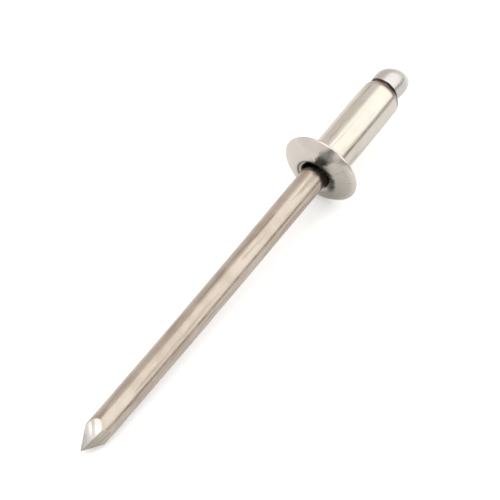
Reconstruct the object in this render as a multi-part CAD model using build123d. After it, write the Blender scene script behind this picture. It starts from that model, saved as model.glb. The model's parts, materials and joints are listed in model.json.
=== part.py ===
from build123d import *
import math
import os

# Open-end blind rivet, not yet set: a tubular body with a domed flange, and the
# mandrel that runs through it. The mandrel is one forged piece, with a bulb head
# beyond the body's blind end and a long stem with a four-sided point.
#
# Each piece is made upright about its own axis, Z. The flange's underside is at
# z = 0, the stem's point is up and the blind end is down. The rivet is then laid
# down as it comes to rest: on the flange's rim and on the stem, beside its point.
# Laid down, it runs along Y with its point towards -Y, and the floor is z = 0.

# ---- Driving dimensions, in millimetres and degrees ----

# Tubular body
shank_diameter = 3.2          # outside of the tube
shank_length = 8.9            # flange's underside to the blind end
blind_round_out = 0.45        # rounding of the blind end, measured across the wall
blind_round_along = 0.65      # the same rounding, measured along the tube
blind_land = 0.09             # flat ring left round the hole, for the head to sit on
root_fillet = 0.12            # between the tube and the flange's underside

# Flange
flange_diameter = 6.36
flange_height = 1.05          # underside to the crown round the hole
rim_radius = 0.12             # rounding of the thin outer rim
dome_radius = 3.0             # curve of the dome, between lip and rim
lip_radius = 0.55             # bend that carries the dome's crown down into the hole

# Mandrel stem
stem_diameter = 2.08
stem_reach = 32.0             # flange's crown to the tip of the point
bore_clearance = 0.02         # between stem and body, each side
notch_depth = 0.29            # neck where the stem breaks as the rivet is set
notch_width = 0.5
notch_from_head = 0.9         # blind end to the middle of the neck

# Point
point_sides = 4
point_length = 2.75           # tip to where the flats' middles run out on the stem
point_turn = 6.0              # direction in which the first flat faces
point_blunt = 0.06            # taken off the very tip

# Mandrel head
head_shoulder = 0.19          # seat's edge beyond the stem's side
head_bulge = 0.12             # widest ring beyond the seat's edge
head_waist = 0.30             # blind end to the widest ring
head_length = 2.25            # blind end to the nose
head_nose_radius = 0.62       # rounding of the nose
head_nose_lean = 62.0         # where that rounding starts, in degrees off the axis
head_offset = 0.18            # the head sits a little off the stem's axis
head_offset_turn = 153.0      # direction of that offset

# ---- Sizes that follow from those ----

shank_radius = shank_diameter / 2
flange_radius = flange_diameter / 2
stem_radius = stem_diameter / 2
bore_radius = stem_radius + bore_clearance
notch_radius = stem_radius - notch_depth
seat_radius = stem_radius + head_shoulder
head_radius = seat_radius + head_bulge

blind_z = -shank_length
tip_z = flange_height + stem_reach
flat_angle = math.degrees(math.atan2(stem_radius, point_length))

# The floor touches the rim's rounding and the end of the stem's straight side.
rim_centre_radius = flange_radius - rim_radius
corner_length = point_length * math.cos(math.pi / point_sides)
rest_run = tip_z - corner_length - rim_radius
rest_drop = rim_centre_radius - stem_radius
rest_tilt = math.degrees(
    math.atan2(rest_drop, rest_run) + math.asin(rim_radius / math.hypot(rest_drop, rest_run))
)


def on_circle(centre, radius, lean):
    """Point of a circle, at an angle off straight up, leaning away from the axis."""
    angle = math.radians(lean)
    return (centre[0] + radius * math.sin(angle), centre[1] + radius * math.cos(angle))


def dome_leans(lip_centre, rim_centre):
    """Where an arc of dome_radius meets the lip's bend and the rim's rounding."""
    run = rim_centre[0] - lip_centre[0]
    rise = rim_centre[1] - lip_centre[1]
    apart = math.hypot(run, rise)
    to_lip = dome_radius - lip_radius
    to_rim = dome_radius - rim_radius
    along = (to_lip**2 - to_rim**2 + apart**2) / (2 * apart)
    below = math.sqrt(to_lip**2 - along**2)
    centre_x = lip_centre[0] + (along * run + below * rise) / apart
    centre_z = lip_centre[1] + (along * rise - below * run) / apart
    return [
        math.degrees(math.atan2(spot[0] - centre_x, spot[1] - centre_z))
        for spot in (lip_centre, rim_centre)
    ], (centre_x, centre_z)


def rivet_body():
    """Tube, domed flange and the hole's rolled lip, as one turned outline."""
    lip_centre = (bore_radius + lip_radius, flange_height - lip_radius)
    rim_centre = (rim_centre_radius, rim_radius)
    (lip_lean, rim_lean), dome_centre = dome_leans(lip_centre, rim_centre)
    wall_round = min(blind_round_out, shank_radius - bore_radius - blind_land)
    round_centre = (shank_radius - wall_round, blind_z + blind_round_along)
    fillet_centre = (shank_radius + root_fillet, -root_fillet)
    with BuildPart() as body:
        with BuildSketch(Plane.XZ):
            with BuildLine():
                Line((bore_radius, blind_z), (bore_radius, lip_centre[1]))
                ThreePointArc(
                    (bore_radius, lip_centre[1]),
                    on_circle(lip_centre, lip_radius, (lip_lean - 90) / 2),
                    on_circle(lip_centre, lip_radius, lip_lean),
                )
                ThreePointArc(
                    on_circle(lip_centre, lip_radius, lip_lean),
                    on_circle(dome_centre, dome_radius, (lip_lean + rim_lean) / 2),
                    on_circle(rim_centre, rim_radius, rim_lean),
                )
                ThreePointArc(
                    on_circle(rim_centre, rim_radius, rim_lean),
                    on_circle(rim_centre, rim_radius, (rim_lean + 180) / 2),
                    (rim_centre_radius, 0),
                )
                Line((rim_centre_radius, 0), (fillet_centre[0], 0))
                CenterArc(fillet_centre, root_fillet, 90, 90)
                Line((shank_radius, -root_fillet), (shank_radius, round_centre[1]))
                EllipticalCenterArc(
                    round_centre, wall_round, blind_round_along, start_angle=270, arc_size=90
                )
                Line((round_centre[0], blind_z), (bore_radius, blind_z))
            make_face()
        revolve(axis=Axis.Z)
    return body.part


def mandrel_stem():
    """Straight wire with the break neck near the head, before its point is cut."""
    neck_z = blind_z + notch_from_head
    neck_half = notch_width / 2
    with BuildPart() as stem:
        with BuildSketch(Plane.XZ):
            with BuildLine():
                Polyline(
                    (0, blind_z),
                    (stem_radius, blind_z),
                    (stem_radius, neck_z - neck_half),
                    (notch_radius, neck_z),
                    (stem_radius, neck_z + neck_half),
                    (stem_radius, tip_z),
                    (0, tip_z),
                    close=True,
                )
            make_face()
        revolve(axis=Axis.Z)
    return stem.part


def point_cuts():
    """The flats of the point, as blocks to take away, and the blunted tip."""
    apex_z = tip_z + point_blunt
    block = 4 * point_length
    low_faces = (Align.CENTER, Align.CENTER, Align.MIN)
    cuts = [Pos(0, 0, tip_z) * Box(block, block, block, align=low_faces)]
    for side in range(point_sides):
        turn = point_turn + side * 360 / point_sides
        facing = Rot(0, 0, turn) * Rot(0, 90 - flat_angle, 0)
        cuts.append(Pos(0, 0, apex_z) * facing * Box(block, block, block, align=low_faces))
    return cuts


def mandrel_head():
    """Bulb head: a short flare from its seat to the widest ring, then a blunt nose."""
    nose_z = blind_z - head_length
    nose_centre = (0, nose_z + head_nose_radius)
    seat_edge = (seat_radius, blind_z)
    ring = (head_radius, blind_z - head_waist)
    nose_start = on_circle(nose_centre, head_nose_radius, 180 - head_nose_lean)
    with BuildPart() as head:
        with BuildSketch(Plane.XZ):
            with BuildLine():
                Line((0, blind_z), seat_edge)
                TangentArc(ring, seat_edge, tangent=(0, 1))
                TangentArc(ring, nose_start, tangent=(0, -1))
                ThreePointArc(
                    nose_start,
                    on_circle(nose_centre, head_nose_radius, 180 - head_nose_lean / 2),
                    (0, nose_z),
                )
                Line((0, nose_z), (0, blind_z))
            make_face()
        revolve(axis=Axis.Z)
    return Rot(0, 0, head_offset_turn) * Pos(head_offset, 0, 0) * head.part


def mandrel():
    piece = mandrel_stem()
    for cut in point_cuts():
        piece = piece - cut
    return piece + mandrel_head()


def laid_down(pieces):
    """Rest pose: tilted by rest_tilt, on the floor, and centred over the origin."""
    tilt = math.radians(rest_tilt)
    along = Plane(
        origin=(0, 0, 0),
        x_dir=(1, 0, 0),
        z_dir=(0, -math.cos(tilt), -math.sin(tilt)),
    )
    lying = {name: along.location * piece for name, piece in pieces.items()}
    boxes = [piece.bounding_box() for piece in lying.values()]
    low = [min(getattr(box.min, a) for box in boxes) for a in "XYZ"]
    high = [max(getattr(box.max, a) for box in boxes) for a in "XYZ"]
    shift = Pos(-(low[0] + high[0]) / 2, -(low[1] + high[1]) / 2, -low[2])
    placed = {name: shift * piece for name, piece in lying.items()}
    return placed, shift * along.location


pieces, place = laid_down({"rivet_body": rivet_body(), "mandrel": mandrel()})

os.makedirs("parts", exist_ok=True)
for name, piece in pieces.items():
    export_step(piece, f"parts/{name}.step")


def row_point(z):
    """A point on the rivet's axis, in metres, once it is laid down."""
    spot = (place * Pos(0, 0, z)).position
    return [round(value / 1000, 7) for value in spot]


shank_straight = shank_length - root_fillet - blind_round_along
stem_straight = tip_z - point_length - flange_height
print("rest tilt, degrees", round(rest_tilt, 4))
print("shank middle", row_point(-root_fillet - shank_straight / 2), "length", shank_straight)
print("flange underside", row_point(0), "faces the blind end")
print("stem middle", row_point(flange_height + stem_straight / 2), "length", stem_straight)
tilt = math.radians(rest_tilt)
print("axis to the point", [0, round(-math.cos(tilt), 7), round(-math.sin(tilt), 7)])
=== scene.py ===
# %% [markdown]
# # A blind rivet, laid on a table
#
# A blind rivet is two pieces of stainless steel. The body is a short tube with a
# thin domed flange. The mandrel is a wire nail: its bulb head sits against the
# tube's blind end, its stem runs through the tube and out past the flange, and it
# ends in a point with four flats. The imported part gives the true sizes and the
# rest pose. It could be shown as it comes, but its curves are flat facets. So both
# pieces are modelled again here, finely enough for a close look, and given their
# drawn, pressed and cut finishes.

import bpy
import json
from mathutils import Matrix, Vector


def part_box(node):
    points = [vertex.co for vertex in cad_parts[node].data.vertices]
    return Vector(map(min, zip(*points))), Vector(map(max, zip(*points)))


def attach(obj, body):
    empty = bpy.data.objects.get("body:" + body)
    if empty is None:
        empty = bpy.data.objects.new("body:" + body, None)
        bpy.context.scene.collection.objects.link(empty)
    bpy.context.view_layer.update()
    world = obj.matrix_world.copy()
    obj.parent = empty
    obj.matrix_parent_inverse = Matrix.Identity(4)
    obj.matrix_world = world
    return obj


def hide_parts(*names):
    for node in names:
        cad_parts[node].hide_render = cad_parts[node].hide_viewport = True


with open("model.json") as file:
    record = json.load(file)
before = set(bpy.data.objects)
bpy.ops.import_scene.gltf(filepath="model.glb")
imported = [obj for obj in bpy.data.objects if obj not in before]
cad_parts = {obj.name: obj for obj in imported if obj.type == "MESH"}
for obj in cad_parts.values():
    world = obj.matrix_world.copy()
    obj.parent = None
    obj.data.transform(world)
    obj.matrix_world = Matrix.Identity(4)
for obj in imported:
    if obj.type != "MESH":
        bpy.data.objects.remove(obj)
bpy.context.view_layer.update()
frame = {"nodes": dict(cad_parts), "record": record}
print("nodes", sorted(frame["nodes"]))

# %% [markdown]
# Everything on a rivet is round about one axis. It could be modelled lying as it
# rests, but it is easier to model each piece standing up, with its axis on Z and
# the flange's underside at zero, and to lay it down afterwards. The record's
# mounts say where that axis runs and how thick the tube and the wire are, so
# nothing has to be measured by eye. The body's blind end is rolled in a little,
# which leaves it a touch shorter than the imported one.

# %% Units, and the rivet's own axis
import math
import json
from types import SimpleNamespace

import bpy
import bmesh
from mathutils import Matrix, Vector

MM = 0.001

mounts = {mount["name"]: mount for mount in frame["record"]["mounts"]}
to_point = Vector(mounts["stem"]["axis"]).normalized()
shank_middle = Vector(mounts["shank"]["pos_m"])
stem_middle = Vector(mounts["stem"]["pos_m"])
shank_radius = mounts["shank"]["dims"]["r_mm"] * MM
stem_radius = mounts["stem"]["dims"]["r_mm"] * MM
straight_shank = mounts["shank"]["dims"]["length_mm"] * MM
straight_stem = mounts["stem"]["dims"]["length_mm"] * MM

root_fillet = 0.12 * MM
blind_round_along = 0.65 * MM
rolled_in = 0.2 * MM
point_length = 2.75 * MM

underside = shank_middle + to_point * (straight_shank / 2 + root_fillet)
blind_z = -(root_fillet + straight_shank + blind_round_along) + rolled_in
tip_z = (stem_middle - underside).dot(to_point) + straight_stem / 2 + point_length
body_low, body_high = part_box("rivet_body")
flange_radius = (body_high.x - body_low.x) / 2
print("blind end at", round(blind_z / MM, 3), "and tip at", round(tip_z / MM, 3), "mm")

# %% [markdown]
# Blender's operators act on whatever is selected, so each job starts with nothing
# selected and then picks its points by their place. An outline is drawn as a list
# of points, so two small helpers give the points of an arc and of a straight
# stretch. A curve object could hold the outline too, but a list is easier to read
# and to change.

# %% Helpers for selecting and for drawing outlines
weld_gap = 0.0005 * MM


def start_clean():
    """Nothing selected and nothing in edit mode, so that an operator acts on one piece."""
    if bpy.context.object and bpy.context.object.mode != "OBJECT":
        bpy.ops.object.mode_set(mode="OBJECT")
    bpy.ops.object.select_all(action="DESELECT")


def edit_points(piece):
    """Open one piece in edit mode, working on its points."""
    start_clean()
    bpy.context.view_layer.objects.active = piece
    bpy.ops.object.mode_set(mode="EDIT")
    bpy.ops.mesh.select_mode(type="VERT")


def close_up():
    """Merge points that lie together and turn every face outwards."""
    bpy.ops.mesh.select_all(action="SELECT")
    bpy.ops.mesh.remove_doubles(threshold=weld_gap)
    bpy.ops.mesh.normals_make_consistent(inside=False)


def pick(piece, test):
    """In edit mode, select just the points that pass the test."""
    mesh = bmesh.from_edit_mesh(piece.data)
    for point in mesh.verts:
        point.select_set(test(point.co))
    mesh.select_flush_mode()
    bmesh.update_edit_mesh(piece.data)
    return sum(point.select for point in mesh.verts)


def arc(centre, radius, start, stop, steps, squeeze=1.0):
    """Points along an arc of the outline. Angles are degrees from straight out, turning up."""
    turns = [math.radians(start + (stop - start) * i / steps) for i in range(steps + 1)]
    return [
        (centre[0] + radius * math.cos(turn), centre[1] + radius * squeeze * math.sin(turn))
        for turn in turns
    ]


def straight(start, stop, steps):
    """Points along a straight stretch, without its first point."""
    return [
        tuple(a + (b - a) * i / steps for a, b in zip(start, stop)) for i in range(1, steps + 1)
    ]


print("an arc in three steps has", len(arc((0, 0), MM, 0, 90, 3)), "points")

# %% [markdown]
# A turned shape is quickest to draw the way a lathe sees it: half an outline, spun
# round the axis. It could be stacked from cylinders and cones instead, but they
# would meet in creases. The outline starts as one point, taken from a small plane
# that is merged to its middle, and grows by extruding that point from place to
# place. Spinning it makes clean rings of quads, which carry reflections smoothly.

# %% Turning an outline into a piece
def turned(name, outline, steps):
    """Spin an outline of (distance from axis, height) points round Z."""
    start_clean()
    first = Vector((outline[0][0], 0, outline[0][1]))
    bpy.ops.mesh.primitive_plane_add(size=0.1 * MM, location=first)
    piece = bpy.context.object
    piece.name = piece.data.name = name
    bpy.ops.object.transform_apply(location=True, rotation=False, scale=False)
    bpy.ops.object.mode_set(mode="EDIT")
    bpy.ops.mesh.select_mode(type="VERT")
    bpy.ops.mesh.select_all(action="SELECT")
    bpy.ops.mesh.merge(type="CENTER")
    here = first
    for out, up in outline[1:]:
        there = Vector((out, 0, up))
        bpy.ops.mesh.extrude_region_move(TRANSFORM_OT_translate={"value": there - here})
        here = there
    bpy.ops.mesh.select_all(action="SELECT")
    bpy.ops.mesh.spin(steps=steps, angle=2 * math.pi, center=(0, 0, 0), axis=(0, 0, 1))
    close_up()
    bpy.ops.object.mode_set(mode="OBJECT")
    print(name, len(outline), "outline points,", len(piece.data.polygons), "faces")
    return piece

# %% [markdown]
# The flange's dome is a shallow pressed curve. A straight slope would be simpler,
# but it would show a crease at each end. An arc that touches both the lip's bend
# and the rim's rounding has none, so its centre is worked out from those circles:
# it lies as far from each of their centres as the arcs' radii differ. The flange
# is drawn a hair small, so that it still fits the imported part's box once it leans.

# %% The dome's arc
bore_clearance = 0.02 * MM
bore_radius = stem_radius + bore_clearance
flange_height = 1.05 * MM
lip_radius = 0.55 * MM
rim_radius = 0.12 * MM
dome_radius = 3.0 * MM
lean_room = 0.024 * MM

lip_centre = Vector((bore_radius + lip_radius, flange_height - lip_radius))
rim_centre = Vector((flange_radius - lean_room - rim_radius, rim_radius))


def arc_centre_over(first, first_reach, second, second_reach):
    """Centre, below both points, that lies the given reaches away from them."""
    apart = second - first
    along = (first_reach**2 - second_reach**2 + apart.length_squared) / (2 * apart.length)
    below = math.sqrt(first_reach**2 - along**2)
    forward = apart.normalized()
    return first + forward * along + Vector((forward.y, -forward.x)) * below


def lean(centre, point):
    """Angle of a point seen from a centre, in degrees from straight out."""
    return math.degrees(math.atan2(point[1] - centre[1], point[0] - centre[0]))


dome_centre = arc_centre_over(
    lip_centre, dome_radius - lip_radius, rim_centre, dome_radius - rim_radius
)
lip_turn = lean(dome_centre, lip_centre)
rim_turn = lean(dome_centre, rim_centre)
print("dome runs from", round(lip_turn, 1), "to", round(rim_turn, 1), "degrees")

# %% [markdown]
# The body is one cold-formed piece. Its outline runs up the bore, rolls over the
# lip where the wire comes out, slopes down the dome to a thin rounded rim, comes
# back under the flange and down the tube to its blind end, which the press leaves
# rounded and a little narrower. Tube and flange could be two meshes, but one
# outline keeps the metal whole, as it is.

# %% The body
blind_round_out = 0.45 * MM
blind_taper = 0.03 * MM
taper_start = -6.2 * MM
body_steps = 192

fillet_centre = (shank_radius + root_fillet, -root_fillet)
end_centre = (shank_radius - blind_taper - blind_round_out, blind_z + blind_round_along)
end_squeeze = blind_round_along / blind_round_out

body_outline = (
    [(bore_radius, blind_z)]
    + straight((bore_radius, blind_z), (bore_radius, lip_centre.y), 18)
    + arc(lip_centre, lip_radius, 180, lip_turn, 22)[1:]
    + arc(dome_centre, dome_radius, lip_turn, rim_turn, 26)[1:]
    + arc(rim_centre, rim_radius, rim_turn, -90, 12)[1:]
    + straight((rim_centre.x, 0), (fillet_centre[0], 0), 8)
    + arc(fillet_centre, root_fillet, 90, 180, 6)[1:]
    + straight((shank_radius, -root_fillet), (shank_radius, taper_start), 20)
    + straight((shank_radius, taper_start), (shank_radius - blind_taper, end_centre[1]), 6)
    + arc(end_centre, blind_round_out, 0, -90, 12, end_squeeze)[1:]
    + straight((end_centre[0], blind_z), (bore_radius, blind_z), 2)
)
body = turned("rivet_body_shell", body_outline, body_steps)

# %% [markdown]
# A pressed body is never quite true on its wire. The whole tube leans by about half
# a degree, and its flange by one more. Turning the object would lean both alike, so
# they are turned in edit mode, about the middle of the crown: first all the points,
# then only those above the root.

# %% The body's slight lean
lean_turn = math.radians(-27)
tube_lean = 0.45
flange_lean = 0.9
above_root = -0.03 * MM

lean_way = Vector((math.cos(lean_turn), math.sin(lean_turn), 0))
hinge = Vector((0, 0, 1)).cross(lean_way)
hinge_frame = Matrix((hinge, Vector((0, 0, 1)).cross(hinge), (0, 0, 1))).transposed()


def lean_over(piece, degrees, above):
    """Turn the points above a height towards lean_way, about the flange's crown."""
    edit_points(piece)
    chosen = pick(piece, lambda place: place.z > above)
    bpy.ops.transform.rotate(
        value=math.radians(degrees),
        orient_axis="X",
        orient_matrix=hinge_frame,
        orient_type="GLOBAL",
        orient_matrix_type="GLOBAL",
        constraint_axis=(True, False, False),
        center_override=(0, 0, flange_height),
    )
    bpy.ops.object.mode_set(mode="OBJECT")
    print(piece.name, chosen, "points turned by", degrees, "degrees")


lean_over(body, tube_lean, blind_z - MM)
lean_over(body, flange_lean, above_root)
near_rim = flange_radius - 0.05 * MM
rim_points = [point.co for point in body.data.vertices if point.co.xy.length > near_rim]
highest = max(rim_points, key=lambda place: place.z)
print("rim highest at", round(math.degrees(math.atan2(highest.y, highest.x))), "degrees")

# %% [markdown]
# The mandrel's head is upset from the wire's own end, as a nail's is: a blunt
# rounded nose, a fullest ring, and a shoulder that comes in a little before it
# turns to meet the body. A half ball would look like a bearing. So the nose is an
# ellipse, and a short curve that starts straight takes it in to the shoulder.

# %% The head's outline
bulb_radius = 1.275 * MM
bulb_half_length = 1.43 * MM
bulb_middle = blind_z - 1.0 * MM
shoulder_radius = 1.22 * MM
shoulder_z = blind_z - 0.18 * MM
shoulder_round = 0.12 * MM
shoulder_centre = (shoulder_radius - shoulder_round, shoulder_z - shoulder_round)


def easing_in(start, stop, steps):
    """Points of a smooth curve that leaves start straight up and ends at stop."""
    start, stop = Vector(start), Vector(stop)
    pull = start + Vector((0.0, 1.0)) * (stop - start).length * 0.5
    shares = [i / steps for i in range(1, steps + 1)]
    return [
        tuple(start * (1 - t) ** 2 + pull * 2 * t * (1 - t) + stop * t**2) for t in shares
    ]


head_outline = (
    arc((0, bulb_middle), bulb_radius, -90, 0, 40, bulb_half_length / bulb_radius)
    + easing_in((bulb_radius, bulb_middle), (shoulder_radius, shoulder_centre[1]), 8)
    + arc(shoulder_centre, shoulder_round, 0, 90, 8)[1:]
)
print("head", len(head_outline), "points, widest", round(bulb_radius / MM, 3), "mm")

# %% [markdown]
# Behind the head comes the wire. Inside the body it has a narrow neck, where it
# snaps once the rivet is set. A plain cylinder would do for the rest, but the wire
# isn't quite straight, so it is divided into many short rings that can each be
# nudged a little.

# %% The mandrel
notch_depth = 0.29 * MM
notch_width = 0.5 * MM
neck_z = blind_z + 0.9 * MM
collar_radius = stem_radius + 0.035 * MM
collar_top = shoulder_z + 0.02 * MM
mandrel_steps = 128

mandrel_outline = (
    head_outline
    + [(collar_radius, collar_top), (collar_radius, blind_z)]
    + straight((collar_radius, blind_z), (stem_radius, blind_z), 1)
    + straight((stem_radius, blind_z), (stem_radius, neck_z - notch_width / 2), 3)
    + [(stem_radius - notch_depth, neck_z), (stem_radius, neck_z + notch_width / 2)]
    + straight((stem_radius, neck_z + notch_width / 2), (stem_radius, tip_z), 60)
    + [(0, tip_z)]
)
mandrel = turned("mandrel_wire", mandrel_outline, mandrel_steps)

# %% [markdown]
# The point is made by pinching and shearing the wire between dies, which leaves
# four flats that meet in a ridge between each pair. A cone wouldn't show them.
# Cutting the mesh with slanted planes does what the dies do: bisect throws away
# what is outside and fills the cut. Its threshold is set very small, because the
# usual one is larger than these details.

# %% Cutting the point's flats
point_turn = 6.0
point_sides = 4
point_blunt = 0.06 * MM
flat_angle = math.atan2(stem_radius, point_length)
apex = Vector((0, 0, tip_z + point_blunt))
blunt_end = (0, 0, tip_z - 0.004 * MM)


def cut_off(spot, facing):
    """Cut all that lies beyond a plane off the piece in edit mode, and close the cut."""
    bpy.ops.mesh.select_all(action="SELECT")
    bpy.ops.mesh.bisect(
        plane_co=spot, plane_no=facing, use_fill=True, clear_outer=True, threshold=weld_gap
    )


edit_points(mandrel)
for side in range(point_sides):
    around = math.radians(point_turn + side * 360 / point_sides)
    outward = Vector((math.cos(around), math.sin(around), 0))
    cut_off(apex, outward * math.cos(flat_angle) + Vector((0, 0, math.sin(flat_angle))))
cut_off(blunt_end, (0, 0, 1))
close_up()
print("mandrel", len(bmesh.from_edit_mesh(mandrel.data).faces), "faces after its cuts")

# %% [markdown]
# Tumbling takes the sharpness off the ridges and off the flats' edges. A shader
# could fake that, but it wouldn't change the outline. A small bevel on just those
# edges does, and they are found by how sharply their two faces meet.

# %% Softening the ridges
ridge_round = 0.08 * MM
ridge_angle = math.radians(14)
point_start = tip_z - point_length - 0.1 * MM

bpy.ops.mesh.select_all(action="DESELECT")
bpy.ops.mesh.select_mode(type="EDGE")
mesh = bmesh.from_edit_mesh(mandrel.data)
for edge in mesh.edges:
    on_point = min(end.co.z for end in edge.verts) > point_start
    if on_point and edge.is_manifold:
        edge.select_set(edge.calc_face_angle() > ridge_angle)
bmesh.update_edit_mesh(mandrel.data)
print("ridge edges", sum(edge.select for edge in mesh.edges))
bpy.ops.mesh.bevel(offset=ridge_round, segments=4, affect="EDGES", clamp_overlap=True)
bpy.ops.mesh.select_mode(type="VERT")
close_up()
bpy.ops.object.mode_set(mode="OBJECT")
print("mandrel", len(mandrel.data.polygons), "faces with soft ridges")

# %% [markdown]
# Neither end of a real mandrel is quite true. The press that upsets the head
# leaves it a little off the wire's axis with its nose leaning back the other way,
# and the drawn wire keeps a trace of the coil it came from. A curve modifier could
# bend the piece, but sliding one ring of points at a time leaves the point and the
# part inside the body exactly where they are.

# %% The leaning head and the slight bow
head_offset = 0.24 * MM
nose_lean = 0.47 * MM
nose_sharpness = 3.2
stem_bow = 0.066 * MM
bow_fullness = 1.3
crown_z = flange_height
nose_z = bulb_middle - bulb_half_length


def slide_rings(piece, low, high, shift):
    """Slide each ring of points between two heights sideways, by shift(height)."""
    edit_points(piece)
    grain = 0.001 * MM
    heights = {round(point.co.z / grain) for point in bmesh.from_edit_mesh(piece.data).verts}
    rings = sorted(height * grain for height in heights if low < height * grain < high)
    for ring in rings:
        pick(piece, lambda place: abs(place.z - ring) < grain)
        bpy.ops.transform.translate(value=shift(ring))
    bpy.ops.object.mode_set(mode="OBJECT")
    print(piece.name, len(rings), "rings moved")


def head_shift(height):
    """Off the axis at the shoulder, and back over it towards the nose."""
    depth = max(0.0, (blind_z - height) / (blind_z - nose_z))
    return lean_way * (nose_lean * depth**nose_sharpness - head_offset)


def bow_shift(height):
    """A shallow bow, fullest halfway along the stem."""
    part = min(1.0, (height - crown_z) / (tip_z - crown_z))
    return lean_way * stem_bow * math.sin(math.pi * part) ** bow_fullness


slide_rings(mandrel, nose_z - MM, blind_z - 0.01 * MM, head_shift)
slide_rings(mandrel, crown_z, tip_z - point_length, bow_shift)

# %% [markdown]
# Laid down, the rivet touches the table with the flange's rim and with the wire
# beside its point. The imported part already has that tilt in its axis, so each
# piece is turned from upright onto that axis and moved so that the flange's
# underside comes where the part has it. The turn could stay on the object, but
# applying it puts the place into the mesh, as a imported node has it.

# %% Laying the pieces down
smooth_below = math.radians(28)


def lay_down(piece):
    """Turn an upright piece onto the rivet's resting axis, and smooth its shading."""
    start_clean()
    piece.select_set(True)
    bpy.context.view_layer.objects.active = piece
    across = Vector((1, 0, 0))
    axes = Matrix((across, to_point.cross(across), to_point)).transposed()
    piece.matrix_world = Matrix.Translation(underside) @ axes.to_4x4()
    bpy.ops.object.transform_apply(location=True, rotation=True, scale=True)
    bpy.ops.object.shade_smooth_by_angle(angle=smooth_below)
    piece.select_set(False)


for piece, node, slot in (
    (body, "rivet_body", "body_steel"),
    (mandrel, "mandrel", "mandrel_steel"),
):
    lay_down(piece)
    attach(piece, "root")
    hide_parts(node)
    lowest = min(point.co.z for point in piece.data.vertices)
    print(piece.name, "laid down, lowest", round(lowest / MM, 4), "mm")

# %% [markdown]
# Steel gets its look from what it mirrors and from fine marks left by how each
# surface was made. A finish is a small network of nodes, and the same few kinds of
# node come up again and again. They could be added one by one, but two helpers
# keep each finish readable: one starts a group, and one adds a node with its
# settings, its values and its links.

# %% Helpers for nodes
def node_group(name, inputs, outputs):
    """An empty shader group with named sockets, and its two end nodes."""
    tree = bpy.data.node_groups.new(name, "ShaderNodeTree")
    for label, kind in inputs:
        tree.interface.new_socket(name=label, in_out="INPUT", socket_type="NodeSocket" + kind)
    for label, kind in outputs:
        tree.interface.new_socket(name=label, in_out="OUTPUT", socket_type="NodeSocket" + kind)
    return tree, tree.nodes.new("NodeGroupInput"), tree.nodes.new("NodeGroupOutput")


def put(tree, kind, values=None, links=None, **settings):
    """Add a node, set its settings and values, and link other sockets into it."""
    node = tree.nodes.new("ShaderNode" + kind)
    for name, value in settings.items():
        setattr(node, name, value)
    for socket, value in (values or {}).items():
        node.inputs[socket].default_value = value
    for socket, source in (links or {}).items():
        tree.links.new(source, node.inputs[socket])
    return node


print("node groups so far", len(bpy.data.node_groups))

# %% [markdown]
# A mask is a value that is one where a mark shows, nothing where it doesn't, and
# soft in between. A hard step would look like tape. Masks come from noise or from
# a place, and are put together like stencils: where all of them meet, or where any
# one of them is.

# %% Helpers for masks and colours
def noise(tree, where, scale, detail, roughness):
    """Soft noise over a place. Its value is about a half on average."""
    values = {"Scale": scale, "Detail": detail, "Roughness": roughness}
    return put(tree, "TexNoise", values, {"Vector": where}).outputs[0]


def between(tree, value, low, high):
    """Nothing at low, one at high and soft in between. Low may be the larger of the two."""
    values = {"From Min": low, "From Max": high}
    return put(
        tree, "MapRange", values, {0: value}, interpolation_type="SMOOTHSTEP"
    ).outputs[0]


def scaled(tree, value, low, high):
    """A value that runs from nothing to one, made to run from low to high."""
    return put(tree, "MapRange", {"To Min": low, "To Max": high}, {0: value}).outputs[0]


def worked(tree, operation, first, second):
    """Two changing values, put through one Math operation."""
    return put(tree, "Math", links={0: first, 1: second}, operation=operation).outputs[0]


def overlap(tree, first, *others):
    """One where all of the masks are one."""
    for mask in others:
        first = worked(tree, "MULTIPLY", first, mask)
    return first


def either(tree, first, second):
    """One where either mask is one."""
    return worked(tree, "MAXIMUM", first, second)


def towards(tree, place, way):
    """How far a place lies in one direction."""
    return put(
        tree, "VectorMath", {1: way}, {0: place}, operation="DOT_PRODUCT"
    ).outputs["Value"]


def tinted(tree, colour, mask, shade):
    """A colour that turns to another shade where the mask is one."""
    return put(
        tree, "Mix", {7: (*shade, 1)}, {0: mask, 6: colour}, data_type="RGBA"
    ).outputs[2]


print("helpers for masks and colours are ready")

# %% [markdown]
# The marks on a rivet follow its axis. A UV map could carry them, but it would
# need a seam and would pinch at the nose. So the first node group turns Object
# coordinates back into upright ones, in millimetres, and gives where a spot is
# along the axis, how far out it is and which way round it is.

# %% Places on the rivet
laid_turn = math.atan2(-to_point.y, to_point.z)
place_group, place_in, place_out = node_group(
    "place_on_rivet",
    [("Position", "Vector")],
    [("Place", "Vector"), ("Along", "Float"), ("Out", "Float"), ("Turn", "Float")],
)
upright = put(
    place_group, "Mapping",
    {"Location": underside, "Rotation": (laid_turn, 0, 0), "Scale": (MM, MM, MM)},
    {"Vector": place_in.outputs["Position"]},
    vector_type="TEXTURE",
)
split = put(place_group, "SeparateXYZ", links={0: upright.outputs[0]})
level = put(
    place_group, "CombineXYZ", links={0: split.outputs["X"], 1: split.outputs["Y"]}
)
outward = put(place_group, "VectorMath", links={0: level.outputs[0]}, operation="LENGTH")
for label, source in (
    ("Place", upright.outputs[0]),
    ("Along", split.outputs["Z"]),
    ("Out", outward.outputs["Value"]),
    ("Turn", worked(place_group, "ARCTAN2", split.outputs["Y"], split.outputs["X"])),
):
    place_group.links.new(source, place_out.inputs[label])
print("laid over by", round(math.degrees(laid_turn), 2), "degrees")

# %% [markdown]
# Wire and tube are both pulled through dies, which scratch them from end to end.
# Wave texture would draw such lines too evenly. Noise squeezed hard along the axis
# gives uneven ones on any round surface. Two sizes of it are made, because single
# deeper scratches run among the fine ones.

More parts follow.
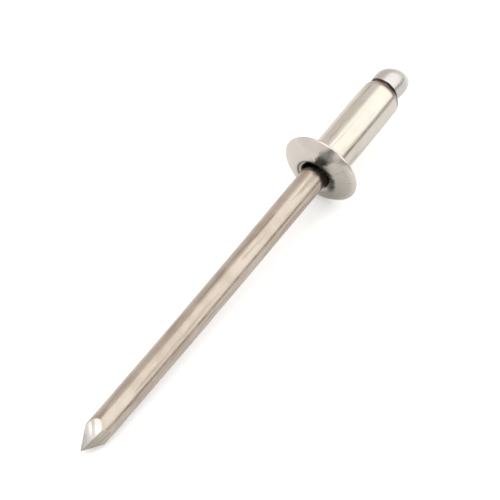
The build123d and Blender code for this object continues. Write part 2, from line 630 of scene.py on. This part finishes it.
# %% Drawing lines
fine_squeeze = (1.0, 1.0, 0.035)
deep_squeeze = (1.0, 1.0, 0.06)

lines_group, lines_in, lines_out = node_group(
    "drawing_lines",
    [("Place", "Vector"), ("Fineness", "Float")],
    [("Fine", "Float"), ("Deep", "Float")],
)


def squeezed(factors):
    """The place, squeezed by a factor in each direction."""
    return put(
        lines_group, "VectorMath", {1: factors}, {0: lines_in.outputs["Place"]},
        operation="MULTIPLY",
    ).outputs[0]


fine_lines = put(
    lines_group, "TexNoise", {"Detail": 3.0, "Roughness": 0.6},
    {"Vector": squeezed(fine_squeeze), "Scale": lines_in.outputs["Fineness"]},
)
deep_lines = between(
    lines_group, noise(lines_group, squeezed(deep_squeeze), 3.2, 2.0, 0.5), 0.55, 0.72
)
lines_group.links.new(fine_lines.outputs[0], lines_out.inputs["Fine"])
lines_group.links.new(deep_lines, lines_out.inputs["Deep"])
print("drawing lines:", len(lines_group.nodes), "nodes")

# %% [markdown]
# Rivets are tumbled together and handled, so their shine isn't even. It has soft
# cloudy patches, a few of them warmer in tone, and shallow dents from knocking
# together. Dirt and painted shade get ragged edges, and dirt sheds dark specks. All
# this could be painted by hand, but noise covers the whole piece and has no seams,
# so each mark is a noise of its own size. The first two are sharpened into patches,
# and the rest are used as they are.

# %% Handling marks
mark_kinds = (
    ("Cloud", 0.9, 4.0, 0.55, (0.3, 0.7)),
    ("Tone", 0.42, 2.0, 0.5, (0.35, 0.65)),
    ("Dents", 2.4, 1.5, 0.45, None),
    ("Rag", 3.6, 3.0, 0.6, None),
    ("Specks", 3.4, 2.0, 0.5, None),
)
marks_group, marks_in, marks_out = node_group(
    "handling_marks", [("Place", "Vector")], [(kind[0], "Float") for kind in mark_kinds]
)
for label, scale, detail, roughness, patch in mark_kinds:
    mark = noise(marks_group, marks_in.outputs["Place"], scale, detail, roughness)
    if patch:
        mark = between(marks_group, mark, *patch)
    marks_group.links.new(mark, marks_out.inputs[label])
print("handling marks:", [kind[0] for kind in mark_kinds])

# %% [markdown]
# Both pieces are stainless steel, which mirrors a little warm. A plain metal with
# one roughness would look like chrome. Each steel here mixes two tones, is duller
# in its cloudy patches, and takes a very shallow relief from the drawing lines and
# the dents.

# %% Steel for the two pieces
line_dullness = 0.10
dent_depth = 0.006 * MM


def rivet_steel(name, bright, dull, shine, fineness, line_depth):
    """A drawn and tumbled steel, with the sockets that later finishes add to."""
    material = bpy.data.materials.new(name)
    material.use_nodes = True
    tree = material.node_tree
    shader = tree.nodes["Principled BSDF"]
    shader.inputs["Metallic"].default_value = 1.0
    spot = put(tree, "TexCoord").outputs["Object"]
    place = put(tree, "Group", links={"Position": spot}, node_tree=place_group).outputs
    lines = put(
        tree, "Group", {"Fineness": fineness}, {"Place": place["Place"]}, node_tree=lines_group
    ).outputs
    marks = put(tree, "Group", links={"Place": place["Place"]}, node_tree=marks_group).outputs
    toned = put(
        tree, "Mix", {6: (*bright, 1), 7: (*dull, 1)}, {0: marks["Tone"]}, data_type="RGBA"
    )
    line_part = put(
        tree, "Math", {1: line_dullness, 2: -line_dullness / 2}, {0: lines["Fine"]},
        operation="MULTIPLY_ADD",
    ).outputs[0]
    rough = worked(tree, "ADD", scaled(tree, marks["Cloud"], *shine), line_part)
    tree.links.new(rough, shader.inputs["Roughness"])
    line_bump = put(
        tree, "Bump", {"Strength": 0.5, "Distance": line_depth}, {"Height": lines["Fine"]}
    )
    dent_bump = put(
        tree, "Bump", {"Strength": 0.5, "Distance": dent_depth},
        {"Height": marks["Dents"], "Normal": line_bump.outputs[0]},
    )
    tree.links.new(dent_bump.outputs[0], shader.inputs["Normal"])
    return SimpleNamespace(
        material=material, tree=tree, shader=shader, colour=toned.outputs[2],
        place=place, lines=lines, marks=marks,
    )


body_steel = rivet_steel(
    "bright_body_steel", (0.67, 0.632, 0.59), (0.62, 0.572, 0.52), (0.16, 0.26), 26.0,
    0.002 * MM,
)
wire_steel = rivet_steel(
    "drawn_mandrel_steel", (0.53, 0.46, 0.395), (0.46, 0.39, 0.33), (0.20, 0.32), 20.0,
    0.003 * MM,
)
print("materials", body_steel.material.name, "and", wire_steel.material.name)

# %% [markdown]
# Dirt, tints and painted shade belong to places: the mouth of the hole, the seam,
# one side of the flange. They could be painted on, but a place is easy to say in
# numbers. These helpers give a mask for a stretch along the axis, a distance out
# from it or a side of it, all in millimetres or degrees.

# %% Helpers for saying where a mark is
def along_mask(steel, low, high):
    """Soft between two heights on the upright rivet, in millimetres."""
    return between(steel.tree, steel.place["Along"], low, high)


def out_mask(steel, low, high):
    """Soft between two distances from the axis, in millimetres."""
    return between(steel.tree, steel.place["Out"], low, high)


def facing(steel, degrees):
    """Cosine of the angle round the axis from a direction."""
    off = put(
        steel.tree, "Math", {1: math.radians(degrees)}, {0: steel.place["Turn"]},
        operation="SUBTRACT",
    )
    return put(steel.tree, "Math", links={0: off.outputs[0]}, operation="COSINE").outputs[0]


def side_mask(steel, degrees, low, high):
    """One on the side of the rivet that faces a direction round its axis."""
    return between(steel.tree, facing(steel, degrees), low, high)


def ragged(steel, value, most):
    """A value made uneven, so that a mark gets a ragged edge."""
    return worked(
        steel.tree, "ADD", value, scaled(steel.tree, steel.marks["Rag"], -most, most)
    )


def paint(steel, piece, coats):
    """Lay shades over the steel, one mask at a time, and give the piece its material."""
    for mask, shade in coats:
        steel.colour = tinted(steel.tree, steel.colour, mask, shade)
    steel.tree.links.new(steel.colour, steel.shader.inputs["Base Color"])
    piece.data.materials.append(steel.material)
    print(piece.name, "has", len(coats), "shades over its steel")


print("masks count from", round(blind_z / MM, 2), "at the blind end to", round(tip_z / MM, 2))

# %% [markdown]
# Round one side of the hole's mouth the dome is painted near black, partly as
# grease squeezed out when the wire was pushed in and partly as painted shade. From
# there a narrow painted reflection runs to the flange's edge, bending as it goes,
# and dark specks lie beside it. Besides a dark shade, all of it takes the metal's
# mirror away.

# %% The grease and painted shade on the flange
smear_and_shade_turn = 30
arm_turn = 70
arm_bend = 9
arm_straight_at = 2.3
speck_turn = 20
smear_and_shade_metallic = 0.08

tree = body_steel.tree
on_face = along_mask(body_steel, 0.3, 0.6)
ragged_out = ragged(body_steel, body_steel.place["Out"], 0.22)
# Near black round one side of the mouth: partly grease, partly painted shade.
mouth_smear_and_shade = overlap(
    tree, side_mask(body_steel, smear_and_shade_turn, 0.2, 0.7), between(tree, ragged_out, 1.95, 1.6),
    on_face,
)
bent_turn = put(
    tree, "Math", {1: math.radians(arm_bend)},
    {0: body_steel.place["Out"], 2: body_steel.place["Turn"]}, operation="MULTIPLY_ADD",
)
arm_off = put(
    tree, "Math", {1: math.radians(arm_turn + arm_bend * arm_straight_at)},
    {0: bent_turn.outputs[0]}, operation="SUBTRACT",
)
arm_near = put(
    tree, "Math", links={0: ragged(body_steel, arm_off.outputs[0], 0.10)}, operation="COSINE"
)
# The arm is a painted reflection of something dark, drawn onto the dome.
arm = overlap(
    tree, between(tree, arm_near.outputs[0], 0.955, 0.992),
    between(tree, ragged_out, 3.1, 2.1), on_face,
)
specks = overlap(
    tree, side_mask(body_steel, speck_turn, 0.3, 0.8), on_face,
    between(tree, body_steel.marks["Specks"], 0.67, 0.76),
)
# Grease and painted shade together, with the painted reflection and the specks.
grease_and_painted_shade = either(tree, either(tree, mouth_smear_and_shade, arm), specks)
tree.links.new(
    scaled(tree, grease_and_painted_shade, 1.0, smear_and_shade_metallic), body_steel.shader.inputs["Metallic"]
)
print("the arm of the smear runs out at", arm_turn, "degrees")

# %% [markdown]
# The body is tumbled bright, and then worn in places. Rubbing leaves fine streaks
# that run out to the rim on one side, and that side of the dome is painted darker
# as shade. Painted shade rings one side of the lip where the dome turns into the
# hole, the bore is painted dark as shade, darkest on one side, and the blind end
# is painted darker and browner next to the seam, with a painted shadow on one side.
# The tube keeps its drawing scratches. Each shade is laid over the last, so the
# darkest coats come at the end of the list.

# %% The body's colour
scuff_and_shade_turn = -8
lip_shade_turn = 150
end_shadow_turn = 35
hole_shadow_turn = 125

on_tube = along_mask(body_steel, 0.0, -0.2)
# The blind end painted darker and browner next to the seam, in cloudy patches.
end_tint = overlap(
    tree, along_mask(body_steel, -8.0, -8.45), scaled(tree, body_steel.marks["Cloud"], 0.6, 1.0)
)
# Painted shadow on one side of the blind end.
end_shadow = overlap(
    tree, along_mask(body_steel, -8.2, -8.5), side_mask(body_steel, end_shadow_turn, 0.45, 0.85)
)
round_only = put(tree, "CombineXYZ", links={0: body_steel.place["Turn"]}).outputs[0]
streaks = put(
    tree, "MapRange", {"From Min": 0.3, "From Max": 0.7, "To Min": 0.35, "To Max": 1.0},
    {0: noise(tree, round_only, 16.0, 3.0, 0.65)},
).outputs[0]
# Rub streaks on one side of the dome, where the dome is also painted darker as shade.
scuffs_and_side_shade = overlap(
    tree, side_mask(body_steel, scuff_and_shade_turn, 0.1, 0.85), along_mask(body_steel, 0.1, 0.25),
    out_mask(body_steel, 3.15, 2.7), streaks,
)
# Painted shade in a ring round one side of the lip.
lip_shade_ring = overlap(
    tree, out_mask(body_steel, 1.62, 1.52), out_mask(body_steel, 1.36, 1.44), on_face,
    side_mask(body_steel, lip_shade_turn, 0.2, 0.6),
)
# Painted shade inside the bore, darker still on one side below.
bore_shade = out_mask(body_steel, 1.36, 1.22)
hole_shadow = overlap(tree, bore_shade, side_mask(body_steel, hole_shadow_turn, 0.5, 0.8))
paint(body_steel, body, (
    (overlap(tree, body_steel.marks["Cloud"], on_tube), (0.65, 0.61, 0.53)),
    (overlap(tree, body_steel.lines["Deep"], on_tube), (0.47, 0.42, 0.365)),
    (end_tint, (0.25, 0.185, 0.15)),
    (end_shadow, (0.13, 0.09, 0.07)),
    (scuffs_and_side_shade, (0.36, 0.335, 0.30)),
    (lip_shade_ring, (0.22, 0.20, 0.175)),
    (grease_and_painted_shade, (0.022, 0.02, 0.017)),
    (bore_shade, (0.20, 0.175, 0.15)),
    (hole_shadow, (0.05, 0.042, 0.035)),
))

# %% [markdown]
# The die that cuts the point drags across each flat and leaves straight streaks.
# Noise in three dimensions would turn to speckles on a slanted flat. Noise along
# one line only, measured across the streaks, keeps them straight from side to side.

# %% Cut marks on the point
upper_flat_turn = point_turn + 90
lower_flat_turn = point_turn
upper_slant = -0.667
lower_slant = 0.3
flat_way = Vector((math.cos(math.radians(point_turn)), math.sin(math.radians(point_turn))))

tree = wire_steel.tree


def cut_streaks(way):
    """Straight streaks, measured in one direction."""
    return between(tree, put(
        tree, "TexNoise", {"Scale": 3.2, "Detail": 3.0, "Roughness": 0.6},
        {"W": towards(tree, wire_steel.place["Place"], way)}, noise_dimensions="1D",
    ).outputs[0], 0.42, 0.62)


on_point = overlap(tree, along_mask(wire_steel, 30.2, 30.3), out_mask(wire_steel, 1.035, 0.99))
# The upper flat is painted bright as lit, the lower one darker as shaded.
lit_upper_flat = overlap(tree, on_point, side_mask(wire_steel, upper_flat_turn, 0.66, 0.74))
shaded_lower_flat = overlap(tree, on_point, side_mask(wire_steel, lower_flat_turn, 0.66, 0.74))
upper_streaks = overlap(tree, lit_upper_flat, cut_streaks((flat_way.x, flat_way.y, upper_slant)))
lower_streaks = overlap(tree, shaded_lower_flat, cut_streaks((-flat_way.y, flat_way.x, lower_slant)))
print("flats face", upper_flat_turn, "and", lower_flat_turn, "degrees")

# %% [markdown]
# The wire keeps the duller, browner skin of drawing. Its head was upset, so it
# shows brighter steel, and its nose is painted lighter still as a painted
# highlight. The upper flat is painted bright as lit and the lower one darker as
# shaded. The wire is painted dark as shade where it leaves the hole, further up on
# one side and darkest on another, and the seam under the head is painted dark as
# shade.

# %% The wire's colour
mouth_turn = 85
mouth_tilt = 0.55
mouth_shadow_turn = 115

tilted_height = put(
    tree, "Math", {1: mouth_tilt},
    {0: facing(wire_steel, mouth_turn), 2: wire_steel.place["Along"]},
    operation="MULTIPLY_ADD",
).outputs[0]
# Painted shade on the wire where it leaves the hole, higher on one side.
wire_mouth_shade = overlap(
    tree, between(tree, ragged(wire_steel, tilted_height, 0.2), 2.05, 1.7),
    along_mask(wire_steel, -1.0, 0.0),
)
# Painted shade in the seam under the head, between head and body.
seam_shade = overlap(tree, along_mask(wire_steel, -9.0, -8.9), along_mask(wire_steel, -8.4, -8.6))
near_tip = overlap(tree, on_point, along_mask(wire_steel, 31.1, 32.2))
mouth_shadow = overlap(tree, wire_mouth_shade, side_mask(wire_steel, mouth_shadow_turn, 0.6, 0.85))
paint(wire_steel, mandrel, (
    (wire_steel.lines["Deep"], (0.36, 0.30, 0.25)),
    (along_mask(wire_steel, -8.75, -8.95), (0.56, 0.545, 0.525)),
    # painted highlight on the head's nose
    (along_mask(wire_steel, -9.9, -10.9), (0.76, 0.74, 0.72)),
    (shaded_lower_flat, (0.50, 0.46, 0.40)),
    (lit_upper_flat, (0.62, 0.595, 0.575)),
    (near_tip, (0.36, 0.345, 0.32)),
    (upper_streaks, (0.40, 0.385, 0.365)),
    (lower_streaks, (0.38, 0.345, 0.29)),
    (seam_shade, (0.14, 0.10, 0.08)),
    (wire_mouth_shade, (0.20, 0.165, 0.14)),
    (mouth_shadow, (0.10, 0.078, 0.065)),
))

# %% [markdown]
# The rivet lies on a plain white sheet. White paper alone would come out grey under
# a lamp that suits steel, and a brighter lamp would burn the steel out. So the
# sheet glows a little of its own accord, and more for the camera than for the
# steel that mirrors it. It is staging, not part of the rivet.

# %% The table
table_size = 6.0
glow_in_reflections = 0.03
glow_for_camera = 0.33

start_clean()
bpy.ops.mesh.primitive_plane_add(size=table_size, location=(0, 0, 0))
table = bpy.context.object
table.name = "table"
paper = bpy.data.materials.new("white_table")
paper.use_nodes = True
paper_shader = paper.node_tree.nodes["Principled BSDF"]
paper_shader.inputs["Base Color"].default_value = (0.8, 0.8, 0.8, 1)
paper_shader.inputs["Roughness"].default_value = 0.9
paper_shader.inputs["Emission Color"].default_value = (1, 1, 1, 1)
seen = put(paper.node_tree, "LightPath").outputs["Is Camera Ray"]
lift = scaled(paper.node_tree, seen, glow_in_reflections, glow_for_camera)
paper.node_tree.links.new(lift, paper_shader.inputs["Emission Strength"])
table.data.materials.append(paper)
print("table", table_size, "m across")

# %% [markdown]
# A round bright piece is described by what it mirrors, so the room matters as much
# as the lamps. Walls could be modelled, but a world made of nodes is quicker and
# casts no shadows. This one is pale and a little warm, dimmer behind the table
# than in front of it, and brightest overhead to the right. Its right wall is
# darker low down, which draws a thin dark line along each round side.

# %% The room
lamp_height = math.radians(63)
over_right = Vector((math.cos(lamp_height), 0.15, math.sin(lamp_height))).normalized()

world = bpy.data.worlds.new("studio")
bpy.context.scene.world = world
world.use_nodes = True
room = world.node_tree
background = room.nodes["Background"]
looking = put(room, "TexCoord").outputs["Generated"]
look = put(room, "SeparateXYZ", links={0: looking}).outputs
dark_wall = overlap(
    room, between(room, look["Z"], 0.32, 0.20), between(room, look["X"], 0.3, 0.6)
)
glow = between(room, towards(room, looking, over_right), 0.45, 0.85)
behind = between(room, look["Y"], -0.25, 0.25)
plaster = put(
    room, "Mix", {6: (1.0, 0.97, 0.95, 1), 7: (0.86, 0.82, 0.78, 1)}, {0: behind},
    data_type="RGBA",
).outputs[2]
ceiling = tinted(room, plaster, glow, (1.25, 1.25, 1.22))
walls = tinted(room, ceiling, dark_wall, (0.44, 0.42, 0.39))
print("room brightest towards", tuple(round(value, 2) for value in over_right))

# %% [markdown]
# Steel needs something dark to mirror, or it looks like plaster. In front of the
# table is a dark doorway, wider at its foot, with a round dark stand beside it.
# They could be black boards in the scene, but drawn into the room they can't get
# in the way of the lamps.

# %% A dark doorway in front of the table
doorway_side = (0.891, 0.0, -0.454)
doorway_up = (0.454, 0.0, 0.891)
doorway_off = 0.04
stand_towards = (0.385, -0.583, 0.716)
dark_shade = (0.05, 0.055, 0.065)

aside = put(
    room, "Math", {1: doorway_off}, {0: towards(room, looking, doorway_side)}, operation="ADD"
)
off_middle = put(room, "Math", links={0: aside.outputs[0]}, operation="ABSOLUTE").outputs[0]
half_width = put(
    room, "MapRange", {"From Min": 0.0, "From Max": 0.7, "To Min": 0.16, "To Max": 0.07},
    {0: towards(room, looking, doorway_up)},
).outputs[0]
inside = worked(room, "SUBTRACT", half_width, off_middle)
doorway = overlap(
    room, between(room, inside, -0.05, 0.05), between(room, look["Y"], -0.55, -0.70)
)
stand = between(room, towards(room, looking, stand_towards), 0.960, 0.978)
walls = tinted(room, walls, either(room, doorway, stand), dark_shade)
room.links.new(walls, background.inputs["Color"])
background.inputs["Strength"].default_value = 1.0
print("room drawn with", len(room.nodes), "nodes")

# %% [markdown]
# Two softboxes light the rivet: a very wide one over the right, and a smaller,
# brighter one nearly overhead, a little to the front and left. A small lamp would
# leave hard sparks on every drawing line, so both are very wide for the size of
# the rivet. The camera doesn't see them, but the steel does.

# %% The softboxes
softbox_distance = 1.5


def softbox(name, way, width, length, radiance):
    """A wide lamp in one direction, with its long side along the rivet, aimed at it."""
    way = Vector(way).normalized()
    start_clean()
    bpy.ops.object.light_add(type="AREA", location=way * softbox_distance)
    lamp = bpy.context.object
    lamp.name = name
    side = Vector((0, 1, 0)).cross(way).normalized()
    lamp.rotation_mode = "QUATERNION"
    axes = Matrix((side, way.cross(side), way)).transposed()
    lamp.rotation_quaternion = axes.to_quaternion()
    lamp.data.shape = "RECTANGLE"
    lamp.data.size = width
    lamp.data.size_y = length
    lamp.data.energy = radiance * math.pi * width * length
    lamp.visible_camera = False
    print(name, round(lamp.data.energy, 2), "W")


softbox("wide_softbox", over_right, 2.9, 4.2, 0.36)
softbox("front_softbox", (-0.30, -0.22, 0.93), 1.15, 0.85, 1.0)
bpy.context.scene.view_settings.view_transform = "Standard"

# %% [markdown]
# The camera stands high over the point's side and looks along the rivet from far
# away, with a very long lens. A near camera would make the point look much larger
# than the head. Its aim is set from the flange's underside, so that it stays on
# the rivet if the part's size changes.

# %% The camera
view_azimuth = math.radians(33.37)
view_elevation = math.radians(45.7)
view_distance = 1.2
aim_along = 9.82 * MM
aim_left = 0.084 * MM
aim_above = 0.072 * MM
lens_length = 1143
sensor_width = 36

back = Vector((
    math.sin(view_azimuth) * math.cos(view_elevation),
    -math.cos(view_azimuth) * math.cos(view_elevation),
    math.sin(view_elevation),
))
right = Vector((math.cos(view_azimuth), math.sin(view_azimuth), 0))
above = back.cross(right)
aim = underside + to_point * aim_along - right * aim_left + above * aim_above
bpy.ops.object.camera_add(location=aim + back * view_distance)
camera = bpy.context.object
camera.rotation_mode = "QUATERNION"
camera.rotation_quaternion = (-back).to_track_quat("-Z", "Y")
camera.data.lens = lens_length
camera.data.sensor_width = sensor_width
camera.data.clip_start = 0.1
camera.data.clip_end = 10
bpy.context.scene.camera = camera
print("camera", view_distance, "m away, lens", lens_length, "mm")
